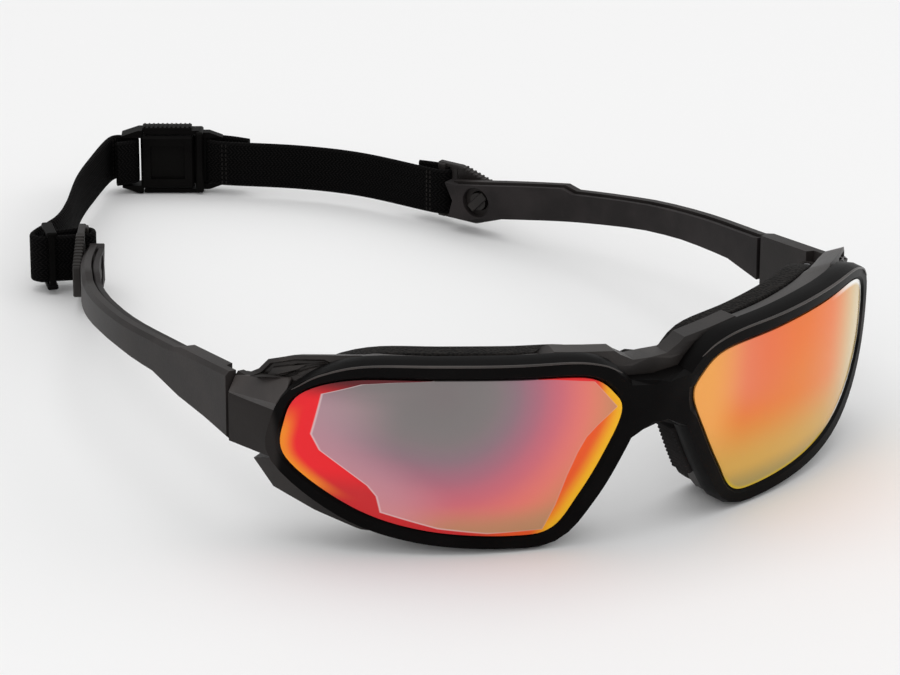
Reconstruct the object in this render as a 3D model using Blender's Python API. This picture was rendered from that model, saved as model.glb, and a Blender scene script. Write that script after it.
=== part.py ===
import math

import bmesh
import bpy
import numpy as np
from mathutils import Matrix, Vector

for old in list(bpy.data.objects):
    bpy.data.objects.remove(old, do_unlink=True)

# lengths in millimetres, turned into metres on the way into a mesh
MM = 0.001
FLOOR = 30.22
MIDDLE_Y = 122.87
GAP = 0.3

# wrap of the front: set-back of the lens surface across and down
WRAP_2 = 0.004185
WRAP_4 = 4.69e-7
LEAN = 0.0031
LEAN_TOP = 10.0

# lens opening, wearer's left, seen from the front (across, up, width of the rim round it)
OPENING = [
    (8.7, 0.0, 4.6), (10.4, 4.7, 4.4), (16.5, 9.0, 4.4), (31.0, 10.1, 4.3), (46.0, 10.4, 4.2),
    (60.0, 9.5, 3.9), (68.1, 5.3, 2.0), (70.8, -1.8, 1.9), (70.2, -10.8, 2.3), (59.8, -20.2, 3.2),
    (47.2, -24.9, 3.3), (30.0, -26.8, 3.26), (22.0, -25.6, 3.7), (17.0, -18.0, 4.5), (12.5, -9.3, 4.6),
]
STATIONS = 72
BRIDGE_TOP = 6.2
BRIDGE_LOW = -3.2
BRIDGE_SPAN = (-2.4, 3.4)
BRIDGE_REACH = 10.5
FRAME_FRONT = -1.2
FRAME_BACK = 3.2
LENS_FRONT = -0.1
LENS_THICK = 2.0

# carriage outline, wearer's left: bridge, brow with its block, upper pod, side, lower pod
CARRIAGE_CENTRE = (39.0, 3.0)
CARRIAGE_OUTLINE = [
    (0.0, 0.5), (0.0, 9.4), (4.2, 9.6), (7.2, 11.2), (8.7, 12.3), (22.6, 13.9), (24.4, 13.0),
    (46.0, 13.3), (60.3, 13.1), (66.0, 12.2), (70.7, 11.2), (74.5, 9.2), (77.0, 6.7), (71.0, 5.95),
    (72.2, 1.0), (72.3, -5.0), (71.9, -11.0), (72.2, -12.5), (76.3, -14.6), (73.2, -20.5),
    (66.7, -24.5), (59.7, -27.6), (48.0, -28.2),
]
CARRIAGE_FRONT = 3.5
CARRIAGE_BACK = 9.5
CARRIAGE_INNER = 0.7
CARRIAGE_NOSE = 3.2
UPPER_POD_START = 60.0
UPPER_POD_LOW = 5.8
VENT_START = 65.9
BROW_FALL = 0.9
BLOCK_REACH = 24.0
POD_FALL = 1.3
TIP_TOP = 7.0
TIP_START = 75.0
TIP_DROP = (1.2, 2.0)
LOWER_POD_START = 59.0
LOWER_POD_TOP = -12.4
FOAM_FRONT = 9.8
FOAM_BACK = 15.0
FOAM_RIM = 1.9
FOAM_NOSE = 0.6
FOAM_BRIDGE = (7.4, 1.6)

HINGE_X = 69.8
HINGE_Y = 53.6
HINGE_Z = -5.0
PIN_RADIUS = 0.8
KNUCKLE_RADIUS = 2.1
KNUCKLES = ((-2.8, 0.6), (-10.4, -7.2))
TONGUE = (-6.8, -3.2)
LUG_END = 50.6
LUG_OUTER = 75.3
LUG_INNER = 71.6
LUG_LOW = -12.3
LUG_RIDGE = -1.0
LUG_TOP = 3.2
LUG_CHAMFER = 2.3
LUG_START = 69.4
LUG_BAND = (-13.0, 5.6)
RIDGE_FRONT = 1.6

TEMPLE_OUTER = 75.6
TEMPLE_BEND_START = 95.0
TEMPLE_BEND = 0.0033
TEMPLE_FRONT = 51.2
TEMPLE_END = 181.6
TEMPLE_RAKE = 0.35
BLOCK_START = 56.6
BLOCK_END = 75.9
BLOCK_THICK = 4.2
LINER_START = 77.2
SHELL_THICK = 2.5
LINER_THICK = 1.5
PEG_Y = 176.0
PEG_Z = -21.25
PEG_RADIUS = 2.2
HEAD_RADIUS = 3.5
KEY_TURN = 45.0

STRAP_WIDE = 11.6
STRAP_THICK = 1.3
STRAP_Z = -21.8

BUCKLE_A = (-11.3, 242.7)
BUCKLE_B = (7.1, 233.2)
BUCKLE_HALF = 8.4
BUCKLE_Z = -21.82
BUCKLE_THICK = 5.6
BODY_TALL = 14.0
CLIP_THICK = 2.0
CLIP_PLATE_END = 8.6
# clip plate outline (along the temple from the peg, up from the strap's middle)
CLIP_PLATE = [(-5.0, -4.2), (-5.0, 3.2), (7.6, 7.1), (8.6, 7.1), (8.6, -7.1), (3.0, -7.1)]
BODY = (2.1, 15.6)
EARS = (-2.7, 2.6)
EAR_THICK = 4.2
SHOULDER = 16.9
TONGUE_SLOT = (7.0, 16.0)
SOCKET_BAR = -1.2
PLUG_BAR = 21.3
BAR_BACK = 13.0


def flip(p, side):
    return (side * p[0], p[1], p[2])


def place(p):
    return Vector((p[0] * MM, (p[1] - MIDDLE_Y) * MM, (p[2] + FLOOR) * MM))


def wrap(x, z):
    lean = max(0.0, LEAN_TOP - z)
    return WRAP_2 * x * x + WRAP_4 * x ** 4 + LEAN * lean * lean


def lift(x, z, depth):
    # a point behind the lens surface, square to its sweep across
    slope = 2.0 * WRAP_2 * x + 4.0 * WRAP_4 * x ** 3
    size = math.hypot(1.0, slope)
    return (x - depth * slope / size, wrap(x, z) + depth / size, z)


def spline(points, count, closed):
    pts = [np.array(p, float) for p in points]
    n = len(pts)
    fine = []
    spans = n if closed else n - 1
    for i in range(spans):
        p1 = pts[i]
        p2 = pts[(i + 1) % n]
        p0 = pts[i - 1] if (closed or i > 0) else 2 * p1 - p2
        last = closed or i + 2 < n
        p3 = pts[(i + 2) % n] if last else 2 * p2 - p1
        for k in range(16):
            t = k / 16.0
            fine.append(0.5 * (2 * p1 + (p2 - p0) * t
                               + (2 * p0 - 5 * p1 + 4 * p2 - p3) * t * t
                               + (3 * p1 - p0 - 3 * p2 + p3) * t ** 3))
    fine.append(pts[0] if closed else pts[-1])
    fine = np.array(fine)
    run = np.concatenate([[0.0], np.cumsum(np.linalg.norm(np.diff(fine, axis=0), axis=1))])
    steps = np.linspace(0.0, run[-1], count + 1 if closed else count)
    if closed:
        steps = steps[:-1]
    return np.stack([np.interp(steps, run, fine[:, k]) for k in range(fine.shape[1])], axis=1)


def outward(loop):
    ahead = np.roll(loop, -1, axis=0) - np.roll(loop, 1, axis=0)
    side = np.stack([-ahead[:, 1], ahead[:, 0]], axis=1)
    return side / np.linalg.norm(side, axis=1)[:, None]


RING = spline(OPENING, STATIONS, True)
HOLE = RING[:, :2]
RIMS = RING[:, 2]
SIDE = outward(HOLE)


def reach(loop, angle):
    # where a ray from the middle of the opening leaves a loop
    centre = np.array(CARRIAGE_CENTRE)
    way = np.array([math.cos(angle), math.sin(angle)])
    far = 0.0
    for p, q in zip(loop, np.roll(loop, -1, axis=0)):
        edge = q - p
        cross = way[0] * edge[1] - way[1] * edge[0]
        if abs(cross) < 1e-9:
            continue
        start = p - centre
        run = (start[0] * edge[1] - start[1] * edge[0]) / cross
        share = (start[0] * way[1] - start[1] * way[0]) / cross
        if -1e-9 <= share <= 1.0 + 1e-9:
            far = max(far, run)
    return centre + way * far


def rim_loop(widths, top, low):
    # offset of the opening; the nose side is carried to the middle plane
    out = []
    for i in range(STATIONS):
        x = HOLE[i][0] + SIDE[i][0] * widths[i]
        z = HOLE[i][1] + SIDE[i][1] * widths[i]
        middle = HOLE[i][0] < BRIDGE_REACH and BRIDGE_SPAN[0] < HOLE[i][1] < BRIDGE_SPAN[1]
        if middle:
            share = (HOLE[i][1] - BRIDGE_SPAN[0]) / (BRIDGE_SPAN[1] - BRIDGE_SPAN[0])
            out.append((0.0, low + (top - low) * share, True))
        else:
            out.append((max(x, 0.6), z, False))
    flags = [i for i in range(STATIONS) if out[i][2]]
    order = sorted(flags, key=lambda i: out[i][1])
    for k, i in enumerate(order):
        out[i] = (0.0, low + (top - low) * k / (len(order) - 1), True)
    return out


def face_out(bm):
    bm.normal_update()
    bmesh.ops.recalc_face_normals(bm, faces=bm.faces)
    bm.normal_update()
    if bm.calc_volume(signed=True) < 0.0:
        bmesh.ops.reverse_faces(bm, faces=bm.faces)


def finish(bm, name, colour, rough, metal=0.0):
    bmesh.ops.remove_doubles(bm, verts=bm.verts, dist=0.00002)
    face_out(bm)
    mesh = bpy.data.meshes.new(name)
    bm.to_mesh(mesh)
    bm.free()
    obj = bpy.data.objects.new(name, mesh)
    bpy.context.collection.objects.link(obj)
    paint(obj, name, colour, rough, metal)
    return obj


def paint(obj, name, colour, rough, metal=0.0):
    mat = bpy.data.materials.new(name)
    mat.use_nodes = True
    shader = mat.node_tree.nodes["Principled BSDF"]
    shader.inputs["Base Color"].default_value = (*colour, 1.0)
    shader.inputs["Roughness"].default_value = rough
    shader.inputs["Metallic"].default_value = metal
    obj.data.materials.clear()
    obj.data.materials.append(mat)


def mirrored(bm):
    # second half across the middle plane, welded on it
    geom = bm.verts[:] + bm.edges[:] + bm.faces[:]
    copy = bmesh.ops.duplicate(bm, geom=geom)["geom"]
    faces = [g for g in copy if isinstance(g, bmesh.types.BMFace)]
    for g in copy:
        if isinstance(g, bmesh.types.BMVert):
            g.co.x = -g.co.x
    bmesh.ops.reverse_faces(bm, faces=faces)
    bmesh.ops.remove_doubles(bm, verts=bm.verts, dist=0.00002)


def ring_half(inner, outer, section):
    # section rows: share from inner to outer, depth behind the lens surface
    bm = bmesh.new()
    rows = []
    stations = len(inner)
    for i in range(stations):
        row = []
        for share, depth, drop in section(i):
            x = inner[i][0] + (outer[i][0] - inner[i][0]) * share
            z = inner[i][1] + (outer[i][1] - inner[i][1]) * share - drop
            row.append(bm.verts.new(place(lift(x, z, depth))))
        rows.append(row)
    faces = {}
    count = len(rows[0])
    for i in range(stations):
        j = (i + 1) % stations
        for k in range(count):
            m = (k + 1) % count
            quad = (rows[i][k], rows[j][k], rows[j][m], rows[i][m])
            flat = all(abs(v.co.x) < 1e-7 for v in quad)
            if not flat:
                faces[(i, k)] = bm.faces.new(quad)
    return bm, faces


def box_mesh(bm, size, centre, turn=0.0, bevel=0.0, roll=0.0):
    made = bmesh.ops.create_cube(bm, size=1.0)["verts"]
    spin = Matrix.Rotation(turn, 4, "Z") @ Matrix.Rotation(roll, 4, "X")
    for v in made:
        v.co = spin @ Vector((v.co.x * size[0] * MM, v.co.y * size[1] * MM, v.co.z * size[2] * MM))
        v.co += place(centre)
    bm.normal_update()
    if bevel:
        edges = list({e for v in made for e in v.link_edges})
        bmesh.ops.bevel(bm, geom=edges, offset=bevel * MM, segments=1, profile=0.5, affect="EDGES")


def box(name, size, centre, turn=0.0, bevel=0.0, roll=0.0):
    bm = bmesh.new()
    box_mesh(bm, size, centre, turn, bevel, roll)
    return finish(bm, name, (0.03, 0.03, 0.03), 0.6)


def rod(name, radius, start, end, segments=20):
    a = place(start)
    b = place(end)
    bm = bmesh.new()
    bmesh.ops.create_cone(bm, cap_ends=True, segments=segments, radius1=radius * MM,
                          radius2=radius * MM, depth=(b - a).length)
    turn = Vector((0, 0, 1)).rotation_difference((b - a).normalized()).to_matrix().to_4x4()
    bmesh.ops.transform(bm, matrix=Matrix.Translation((a + b) / 2) @ turn, verts=bm.verts)
    return finish(bm, name, (0.03, 0.03, 0.03), 0.6)


def split(obj):
    bm = bmesh.new()
    bm.from_mesh(obj.data)
    bmesh.ops.triangulate(bm, faces=bm.faces)
    bm.to_mesh(obj.data)
    bm.free()


def combine(obj, other, how):
    split(obj)
    split(other)
    mod = obj.modifiers.new("shape", "BOOLEAN")
    mod.operation = how
    mod.object = other
    mod.solver = "EXACT"
    graph = bpy.context.evaluated_depsgraph_get()
    done = bpy.data.meshes.new_from_object(obj.evaluated_get(graph))
    obj.modifiers.clear()
    obj.data = done
    bpy.data.objects.remove(other, do_unlink=True)


def tidy(obj):
    bm = bmesh.new()
    bm.from_mesh(obj.data)
    bmesh.ops.dissolve_degenerate(bm, edges=bm.edges, dist=0.00001)
    bmesh.ops.remove_doubles(bm, verts=bm.verts, dist=0.00001)
    bmesh.ops.triangulate(bm, faces=[f for f in bm.faces if len(f.verts) > 4])
    face_out(bm)
    bm.to_mesh(obj.data)
    bm.free()


def front_frame():
    outer = rim_loop(RIMS, BRIDGE_TOP, BRIDGE_LOW)

    def section(i):
        edge = FRAME_FRONT if outer[i][2] else 0.7
        return [(0.0, 0.3, 0.0), (0.2, -0.7, 0.0), (0.82, FRAME_FRONT, 0.0), (1.0, edge, 0.0),
                (1.0, FRAME_BACK, 0.0), (0.0, FRAME_BACK, 0.0)]

    bm, faces = ring_half(HOLE, outer, section)

    def on_lug(i):
        x, z = outer[i % STATIONS][:2]
        return x > LUG_START and LUG_BAND[0] < z < LUG_BAND[1]

    patch = [faces[(i, 3)] for i in range(STATIONS) if on_lug(i) and on_lug(i + 1)]
    heights = [v.co.z / MM - FLOOR for f in patch for v in f.verts]
    skin = [f.verts[:][0].co.copy() for f in patch] + [f.verts[:][1].co.copy() for f in patch]
    levels = [min(heights), RIDGE_FRONT, max(heights)]
    grown = bmesh.ops.extrude_face_region(bm, geom=patch)["geom"]
    bmesh.ops.delete(bm, geom=patch, context="FACES_ONLY")
    moved = [g for g in grown if isinstance(g, bmesh.types.BMVert)]
    outside = [v for v in moved if min((v.co - c).length for c in skin) < 1e-6]
    for v in moved:
        z = v.co.z / MM - FLOOR
        rear = float(np.interp(z, levels, [LUG_LOW, LUG_RIDGE, LUG_TOP]))
        edge = float(np.interp(z, levels, [LUG_OUTER, LUG_OUTER, LUG_OUTER - LUG_CHAMFER]))
        v.co = place((edge if v in outside else LUG_INNER, LUG_END, rear))
    mirrored(bm)
    obj = finish(bm, "front_frame", (0.022, 0.022, 0.024), 0.55)
    for side in (1, -1):
        for low_z, high_z in KNUCKLES:
            middle = (low_z + high_z) / 2
            arm = box("arm", (3.6, 9.0, high_z - low_z), (side * 70.5, 48.6, middle))
            eye = rod("eye", KNUCKLE_RADIUS, (side * HINGE_X, HINGE_Y, low_z + 0.001),
                      (side * HINGE_X, HINGE_Y, high_z - 0.001))
            combine(arm, eye, "UNION")
            combine(obj, arm, "UNION")
        bore = rod("bore", PIN_RADIUS + GAP, (side * HINGE_X, HINGE_Y, -14.0),
                   (side * HINGE_X, HINGE_Y, 6.0))
        combine(obj, bore, "DIFFERENCE")
    tidy(obj)
    return obj


def lens(name, side):
    bm = bmesh.new()
    rim = HOLE - SIDE * GAP
    centre = rim.mean(axis=0)
    layers = []
    for depth in (LENS_FRONT, LENS_FRONT + LENS_THICK):
        hub = bm.verts.new(place(flip(lift(centre[0], centre[1], depth), side)))
        loops = []
        for share in (0.34, 0.67, 1.0):
            loop = []
            for i in range(STATIONS):
                x, z = centre + (rim[i] - centre) * share
                loop.append(bm.verts.new(place(flip(lift(x, z, depth), side))))
            loops.append(loop)
        layers.append((hub, loops))
    n = STATIONS
    for hub, loops in layers:
        for i in range(n):
            j = (i + 1) % n
            bm.faces.new((hub, loops[0][i], loops[0][j]))
            for a, b in ((0, 1), (1, 2)):
                bm.faces.new((loops[a][i], loops[b][i], loops[b][j], loops[a][j]))
    for i in range(n):
        j = (i + 1) % n
        bm.faces.new((layers[0][1][2][i], layers[1][1][2][i], layers[1][1][2][j], layers[0][1][2][j]))
    return finish(bm, name, (0.75, 0.16, 0.05), 0.08, 0.9)


def rear_carriage():
    under = [i for i in range(STATIONS) if HOLE[i][0] < 46.0 and HOLE[i][1] < -4.5]
    loop = [np.array(p) for p in CARRIAGE_OUTLINE]
    loop += [HOLE[i] + SIDE[i] * CARRIAGE_NOSE for i in under]
    corners = [math.atan2(p[1] - CARRIAGE_CENTRE[1], p[0] - CARRIAGE_CENTRE[0])
               for p in CARRIAGE_OUTLINE]
    even = [math.radians(d) for d in np.arange(-177.5, 180.0, 5.0)]
    even = [a for a in even if min(abs(a - c) for c in corners) > math.radians(1.5)]
    angles = sorted(corners + even)
    inner = [reach(HOLE + SIDE * CARRIAGE_INNER, a) for a in angles]
    outer = [reach(np.array(loop), a) for a in angles]
    outer = [np.array([0.0, p[1]]) if p[0] < 0.01 else p for p in outer]

    def upper(i):
        x, z = outer[i % len(outer)]
        return x > UPPER_POD_START and z > UPPER_POD_LOW

    def section(i):
        lower = outer[i][0] > LOWER_POD_START and outer[i][1] < LOWER_POD_TOP
        share = 0.6
        depth = CARRIAGE_FRONT + 0.7
        drop = (0.0, BROW_FALL if outer[i][0] > BLOCK_REACH and outer[i][1] > UPPER_POD_LOW else 0.0)
        if upper(i):
            share = 0.22
            depth = CARRIAGE_FRONT + 1.1
            drop = TIP_DROP if outer[i][0] > TIP_START else (0.0, POD_FALL if outer[i][1] > TIP_TOP else 0.0)
        if lower:
            share = 0.35
            depth = CARRIAGE_FRONT + 1.3
        back = 1.0 if outer[i][0] == 0.0 else 0.75
        return [(0.0, CARRIAGE_FRONT, 0.0), (share, CARRIAGE_FRONT, 0.0), (1.0, depth, drop[0]),
                (1.0, CARRIAGE_BACK - 1.0, drop[1]), (back, CARRIAGE_BACK, drop[1]),
                (0.0, CARRIAGE_BACK, 0.0)]

    bm, faces = ring_half(inner, outer, section)
    vent = [faces[(i, 1)] for i in range(len(outer) - 1)
            if upper(i) and upper(i + 1) and min(outer[i][0], outer[i + 1][0]) > VENT_START]
    face_out(bm)
    bmesh.ops.inset_region(bm, faces=vent, thickness=0.0009, depth=0.0, use_even_offset=True)
    bmesh.ops.inset_region(bm, faces=vent, thickness=0.0003, depth=-0.0010, use_even_offset=True)
    bmesh.ops.inset_region(bm, faces=vent, thickness=0.0006, depth=0.0, use_even_offset=True)
    bmesh.ops.inset_region(bm, faces=vent, thickness=0.0002, depth=0.0007, use_even_offset=True)
    mirrored(bm)
    return finish(bm, "rear_carriage", (0.028, 0.028, 0.03), 0.6)


def foam_gasket():
    inner = HOLE + SIDE * 0.2
    widths = [FOAM_RIM + FOAM_NOSE * max(-SIDE[i][0], 0.0) for i in range(STATIONS)]
    outer = rim_loop(widths, *FOAM_BRIDGE)

    def section(i):
        soft = 0.8 if not outer[i][2] else 1.0
        return [(0.0, FOAM_FRONT, 0.0), (1.0, FOAM_FRONT, 0.0), (1.0, FOAM_BACK - 1.2, 0.0),
                (soft, FOAM_BACK, 0.0), (0.2, FOAM_BACK, 0.0)]

    bm, faces = ring_half(inner, outer, section)
    mirrored(bm)
    return finish(bm, "foam_gasket", (0.03, 0.03, 0.032), 0.95)


def nose_pad(name, side):
    picks = [i for i in range(STATIONS) if HOLE[i][0] < 18.6 and -20.0 < HOLE[i][1] < -5.4]
    path = [(HOLE[i], SIDE[i]) for i in picks]
    line = spline([tuple(p) + tuple(s) for p, s in path], 25, False)
    bm = bmesh.new()
    rows = []
    for k, (hx, hz, sx, sz) in enumerate(line):
        rib = 0.45 if k % 2 else 0.0
        near = CARRIAGE_NOSE + 0.5
        row = []
        for off, depth in ((near, 4.0), (near + 1.3 + rib, 4.0), (near + 1.5 + rib, 9.6), (near, 11.0)):
            x = hx + sx * off
            z = hz + sz * off
            row.append(bm.verts.new(place(flip(lift(x, z, depth), side))))
        rows.append(row)
    for a, b in zip(rows, rows[1:]):
        for k in range(4):
            m = (k + 1) % 4
            bm.faces.new((a[k], b[k], b[m], a[m]))
    bm.faces.new(rows[0])
    bm.faces.new(rows[-1])
    return finish(bm, name, (0.02, 0.02, 0.022), 0.75)


def temple_line(y):
    past = max(0.0, y - TEMPLE_BEND_START)
    x = TEMPLE_OUTER - TEMPLE_BEND * past * past
    slope = -2.0 * TEMPLE_BEND * past
    length = math.hypot(1.0, slope)
    return x, (1.0 / length, -slope / length)


def temple_top(y):
    return float(np.interp(y, [51.0, 75.5, 79.0, 100.0, 122.0, 148.6, 151.9, 174.9, 184.0],
                           [3.2, -0.3, -1.4, -4.2, -7.3, -11.9, -11.2, -16.1, -18.2]))


def temple_low(y):
    return float(np.interp(y, [51.0, 62.0, 75.0, 90.0, 112.0, 126.0, 150.0, 174.0, 184.0],
                           [-12.4, -12.1, -12.3, -11.3, -13.4, -15.4, -20.2, -25.6, -28.0]))


def arm_layer(name, side, start, end, near, far, inset, block):
    # a slab between two offsets inward from the outer face, thicker at the front block, end raked
    bm = bmesh.new()
    stops = [start, 56.0, BLOCK_START, 62.0, 69.0, 75.5, BLOCK_END, 76.8, 79.0, 84.0, 90.0, 96.0,
             103.0, 110.0, 117.0, 124.0, 131.0, 138.0, 144.0, 148.6, 151.9, 158.0, 164.0, 170.0,
             176.0, end]
    stops = [s for s in stops if start <= s <= end]
    rows = []
    for y in stops:
        x, normal = temple_line(y)
        top = temple_top(y) - inset
        low = temple_low(y) + inset
        row = []
        cut = 0.9 if near == 0.0 else 0.3
        thick = BLOCK_THICK if block and BLOCK_START <= y <= BLOCK_END else far
        for off, z in ((near + cut, top), (near, top - cut), (near, low + cut), (near + cut, low),
                       (thick, low), (thick, top)):
            rake = TEMPLE_RAKE * (z - PEG_Z) if y == end else 0.0
            px = x - normal[0] * off - normal[1] * rake
            py = y - normal[1] * off + normal[0] * rake
            row.append(bm.verts.new(place((side * px, py, z))))
        rows.append(row)
    for a, b in zip(rows, rows[1:]):
        for k in range(6):
            m = (k + 1) % 6
            bm.faces.new((a[k], b[k], b[m], a[m]))
    bm.faces.new(rows[0])
    bm.faces.new(rows[-1])
    return finish(bm, name, (0.024, 0.024, 0.026), 0.55)


def peg_frame(side):
    x, normal = temple_line(PEG_Y)
    n = np.array([side * normal[0], normal[1], 0.0])
    t = np.array([-side * normal[1], normal[0], 0.0])
    return np.array([side * x, PEG_Y, PEG_Z]), n, t


def temple(name, side):
    shell = arm_layer("temple_arm_" + name, side, TEMPLE_FRONT, TEMPLE_END, 0.0, SHELL_THICK, 0.0, True)
    liner = arm_layer("temple_liner_" + name, side, LINER_START, TEMPLE_END - 0.8, SHELL_THICK + GAP,
                      SHELL_THICK + GAP + LINER_THICK, 0.5, False)
    tongue = box("tongue", (5.4, 3.0, TONGUE[1] - TONGUE[0]), (side * 71.4, HINGE_Y, HINGE_Z))
    eye = rod("eye", KNUCKLE_RADIUS, (side * HINGE_X, HINGE_Y, TONGUE[0] + 0.001),
              (side * HINGE_X, HINGE_Y, TONGUE[1] - 0.001))
    combine(tongue, eye, "UNION")
    combine(shell, tongue, "UNION")
    bore = rod("bore", PIN_RADIUS + GAP, (side * HINGE_X, HINGE_Y, -14.0), (side * HINGE_X, HINGE_Y, 6.0))
    combine(shell, bore, "DIFFERENCE")
    c, n, t = peg_frame(side)
    for piece, radius in ((shell, PEG_RADIUS + GAP), (liner, HEAD_RADIUS + GAP)):
        drill = rod("drill", radius, tuple(c - n * 8.0), tuple(c + n * 4.0), 24)
        combine(piece, drill, "DIFFERENCE")
        tidy(piece)
    paint(liner, liner.name, (0.03, 0.03, 0.033), 0.7)
    return shell, liner


def strap_clip(name, side):
    # plate outside the temple end, two ears and the bar that the webbing goes round
    c, n, t = peg_frame(side)
    turn = math.atan2(n[1], n[0])
    bm = bmesh.new()
    skins = []
    for off in (GAP, GAP + CLIP_THICK):
        skin = []
        for run, up in CLIP_PLATE:
            p = c + n * off + t * run
            skin.append(bm.verts.new(place((p[0], p[1], STRAP_Z + up))))
        skins.append(skin)
    for k in range(len(CLIP_PLATE)):
        m = (k + 1) % len(CLIP_PLATE)
        bm.faces.new((skins[0][k], skins[0][m], skins[1][m], skins[1][k]))
    bm.faces.new(skins[0])
    bm.faces.new(skins[1])
    face_out(bm)
    bmesh.ops.bevel(bm, geom=bm.edges[:], offset=0.3 * MM, segments=1, affect="EDGES", profile=0.5)
    obj = finish(bm, "strap_clip_" + name, (0.045, 0.045, 0.048), 0.5)
    level = np.array([0.0, 0.0, STRAP_Z - PEG_Z])
    middle = GAP + CLIP_THICK / 2
    ear = STRAP_WIDE / 2 + GAP + 0.5
    reach_back = BAR_BACK + 1.4 - CLIP_PLATE_END + 0.6
    parts = [((1.7, reach_back, 1.0), CLIP_PLATE_END - 0.6 + reach_back / 2, ear, middle)]
    parts += [((1.7, reach_back, 1.0), CLIP_PLATE_END - 0.6 + reach_back / 2, -ear, middle)]
    parts += [((2.0, 2.0, 2.0 * ear + 0.6), BAR_BACK, 0.0, 0.8)]
    for size, run, up, off in parts:
        where = c + level + n * off + t * run + np.array([0.0, 0.0, up])
        combine(obj, box("bar", size, tuple(where), turn, 0.2), "UNION")
    peg = rod("peg", PEG_RADIUS, tuple(c + n * 0.8), tuple(c - n * 3.4), 24)
    combine(obj, peg, "UNION")
    key = box("key", (1.2, 2.2, 5.8), tuple(c - n * 3.4), turn, 0.2, side * math.radians(KEY_TURN))
    combine(obj, key, "UNION")
    tidy(obj)
    paint(obj, obj.name, (0.045, 0.045, 0.048), 0.5)
    return obj


def band(name, path, wide, thick, z, count, closed=False):
    line = spline(path, count, closed)
    bm = bmesh.new()
    rows = []
    ahead = np.gradient(line, axis=0)
    for p, d in zip(line, ahead):
        d = d / np.linalg.norm(d)
        side = np.array([-d[1], d[0]])
        row = []
        for s, h in ((-1, -1), (1, -1), (1, 1), (-1, 1)):
            q = p + side * s * thick / 2
            row.append(bm.verts.new(place((q[0], q[1], z + h * wide / 2))))
        rows.append(row)
    for a, b in zip(rows, rows[1:]):
        for k in range(4):
            m = (k + 1) % 4
            bm.faces.new((a[k], b[k], b[m], a[m]))
    bm.faces.new(rows[0])
    bm.faces.new(rows[-1])
    return finish(bm, name, (0.025, 0.025, 0.027), 0.9)


print("front")
FRAME = front_frame()
lens("lens_right", -1)
lens("lens_left", 1)
rear_carriage()
foam_gasket()
nose_pad("nose_pad_right", -1)
nose_pad("nose_pad_left", 1)
for word, sign in (("right", -1), ("left", 1)):
    pin = rod("hinge_pin_" + word, PIN_RADIUS, (sign * HINGE_X, HINGE_Y, KNUCKLES[1][0]),
              (sign * HINGE_X, HINGE_Y, KNUCKLES[0][1]))
    paint(pin, pin.name, (0.5, 0.5, 0.52), 0.3, 1.0)

print("temples")
MOVERS = {}
for word, sign in (("right", -1), ("left", 1)):
    MOVERS["temple_" + word] = list(temple(word, sign))
    MOVERS["clip_" + word] = [strap_clip(word, sign)]

print("strap")


def plan(p):
    return np.array(p[:2], float)


def bar_point(side):
    c, n, t = peg_frame(side)
    return plan(c + n * 0.8 + t * BAR_BACK)


SLIDER = np.array([-56.75, 189.9])
LAYER = 1.75
LOOP = 1.2 + GAP + STRAP_THICK / 2
RUN = SLIDER - bar_point(-1)
RUN = RUN / np.linalg.norm(RUN)
ACROSS = np.array([RUN[1], -RUN[0]])
AXIS = plan(BUCKLE_B) - plan(BUCKLE_A)
AXIS = AXIS / np.linalg.norm(AXIS)
FACING = np.array([AXIS[1], -AXIS[0]])
BUCKLE_TURN = math.atan2(AXIS[1], AXIS[0])


def along(s, off=0.0):
    return plan(BUCKLE_A) + AXIS * s + FACING * off


def strap_loop(bar, away, side):
    # webbing round a bar: two runs leave along one direction, a bend in front
    return [bar + side * LOOP, bar + (side * 0.75 - away * 0.75) * LOOP, bar - away * LOOP,
            bar + (-side * 0.75 - away * 0.75) * LOOP, bar - side * LOOP]


def right_front():
    bar = bar_point(-1)
    path = [SLIDER - ACROSS * LAYER, bar + RUN * 3.0 - ACROSS * LOOP]
    path += strap_loop(bar, RUN, -ACROSS)
    path += [bar + RUN * 3.0 + ACROSS * LOOP, SLIDER + ACROSS * LAYER]
    return band("strap_right_front", path, STRAP_WIDE, STRAP_THICK, STRAP_Z, 40)


def right_rear():
    bar = along(SOCKET_BAR)
    away = plan((-19.6, 243.4)) - bar
    away = away / np.linalg.norm(away)
    side = np.array([-away[1], away[0]])
    path = [SLIDER + RUN * 0.4 - ACROSS * LAYER, SLIDER + RUN * 2.4 - ACROSS * LAYER,
            SLIDER + RUN * 4.1 + ACROSS * 0.2, SLIDER + RUN * 3.4 + ACROSS * 3.4,
            (-52.4, 200.0), (-45.1, 207.4), (-36.0, 222.3), (-26.5, 234.5)]
    path += [bar + away * 4.0 - side * LOOP]
    path += strap_loop(bar, away, -side)
    path += [bar + away * 4.0 + side * LOOP]
    return band("strap_right_rear", path, STRAP_WIDE, STRAP_THICK, STRAP_Z, 64)


def left_strap():
    bar = bar_point(1)
    away = plan((35.2, 206.3)) - bar
    away = away / np.linalg.norm(away)
    side = np.array([-away[1], away[0]])
    end = along(PLUG_BAR)
    back = plan((20.0, 221.0)) - end
    back = back / np.linalg.norm(back)
    flank = np.array([-back[1], back[0]])
    path = [bar + away * 7.5 - side * 1.7, bar + away * 3.4 - side * LOOP]
    path += strap_loop(bar, away, -side)
    path += [bar + away * 3.4 + side * LOOP, (35.0, 206.2), (23.6, 218.1)]
    path += [end + back * 4.0 - flank * LOOP]
    path += strap_loop(end, back, -flank)
    path += [end + back * 4.0 + flank * LOOP, end + back * 8.0 + flank * 1.6]
    return band("strap_left", path, STRAP_WIDE, STRAP_THICK, STRAP_Z, 76)


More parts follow.
